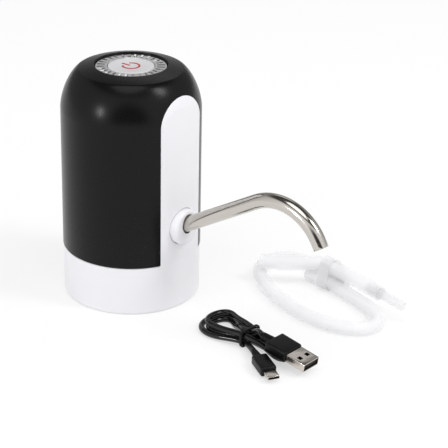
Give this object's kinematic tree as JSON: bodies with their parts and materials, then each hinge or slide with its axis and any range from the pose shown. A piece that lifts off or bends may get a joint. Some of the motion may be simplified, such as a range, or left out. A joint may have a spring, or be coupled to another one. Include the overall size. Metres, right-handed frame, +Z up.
{
  "type": "bottled water pump",
  "caption": "Rechargeable dispenser that sits on a water bottle's neck: domed two-tone housing, push button on top, bent steel spout, with intake hose and charging cable beside it.",
  "frame": {"origin": "centre of the socket's ceiling, which rests on the rim of the bottle's neck", "axes": "+X towards the spout, +Z up along the housing's axis, +Y to the left seen from behind"},
  "size_m": [0.1791, 0.1239, 0.129],
  "materials": {
    "white_shell": "satin white",
    "black_shell": "satin black",
    "brushed_steel": "fine brushed along the tube",
    "plated_steel": "plated",
    "chrome_trim": "bright with radial facets",
    "silver_cap": "satin silver white",
    "red_print": "printed",
    "black_rubber": "matt",
    "clear_silicone": "translucent, soft sheen",
    "clear_plastic": "clear",
    "circuit_board": "solder mask",
    "cell_wrap": "shrink wrap",
    "nylon": "matt natural",
    "black_cable": "soft sheen",
    "red_wire": "matt"
  },
  "bodies": {
    "housing": {"base_housing": "white_shell", "front_panel": "white_shell", "spout_boss": "white_shell", "top_housing": "black_shell", "tact_switch": "black_shell", "motor_end_cap": "black_shell", "motor_can": "plated_steel", "charge_port": "plated_steel", "inlet_clip": "plated_steel", "outlet_clip": "plated_steel", "frame_screw_1": "plated_steel", "frame_screw_2": "plated_steel", "frame_screw_3": "plated_steel", "board_screw_1": "plated_steel", "board_screw_2": "plated_steel", "pump_screw_1": "plated_steel", "pump_screw_2": "plated_steel", "button_ring": "chrome_trim", "neck_sleeve": "black_rubber", "spout_seal": "black_rubber", "motor_pad": "black_rubber", "pump_diaphragm": "black_rubber", "inlet_hose": "clear_silicone", "outlet_hose": "clear_silicone", "light_ring": "clear_plastic", "indicator_lens": "clear_plastic", "control_board": "circuit_board", "charge_board": "circuit_board", "battery_cell": "cell_wrap", "inner_frame": "nylon", "outlet_elbow": "nylon", "inlet_nipple": "nylon", "pump_head": "nylon", "pump_valve_plate": "nylon", "pump_cover": "nylon", "battery_wire_black": "black_cable", "motor_wire_black": "black_cable", "battery_wire_red": "red_wire", "motor_wire_red": "red_wire"},
    "spout_collar": {"spout_bush": "black_rubber"},
    "spout": {"spout_tube": "brushed_steel"},
    "button": {"button_cap": "silver_cap", "power_symbol_ring": "red_print", "power_symbol_bar": "red_print"},
    "rotor": {"motor_rotor": "plated_steel", "eccentric_cam": "nylon"},
    "hose_set": {"intake_hose": "clear_silicone", "connector_hose": "clear_silicone", "connector_tube": "clear_plastic", "hose_tie": "clear_plastic"},
    "cable_set": {"cable_hank": "black_cable", "cable_to_micro_plug": "black_cable", "cable_to_usb_plug": "black_cable", "cable_tie": "black_cable", "usb_plug_body": "black_cable", "usb_plug_shell": "plated_steel", "usb_plug_tongue": "white_shell", "micro_plug_body": "black_cable", "micro_plug_shell": "plated_steel"}
  },
  "joints": [
    {"name": "button_press", "type": "slide", "parent": "housing", "child": "button", "axis": [0, 0, -1], "range_m": [0, 0.0008], "stiffness_N_per_m": 1500, "springref_m": -0.0002},
    {"name": "spout_swivel", "type": "hinge", "parent": "housing", "child": "spout_collar", "pos_m": [0.036, 0, 0.0223], "axis": [0.866, 0, 0.5], "range_deg": [-180, 180]},
    {"name": "spout_pull", "type": "slide", "parent": "spout_collar", "child": "spout", "axis": [0.866, 0, 0.5], "range_m": [0, 0.018]},
    {"name": "rotor_spin", "type": "hinge", "parent": "housing", "child": "rotor", "pos_m": [-0.004, -0.014, 0.0249], "axis": [0, 0, 1], "continuous": true},
    {"name": "hose_aside", "type": "slide", "parent": "housing", "child": "hose_set", "axis": [0, 1, 0], "range_m": [0, 0.1]},
    {"name": "cable_aside", "type": "slide", "parent": "housing", "child": "cable_set", "axis": [0, -1, 0], "range_m": [0, 0.1]}
  ]
}
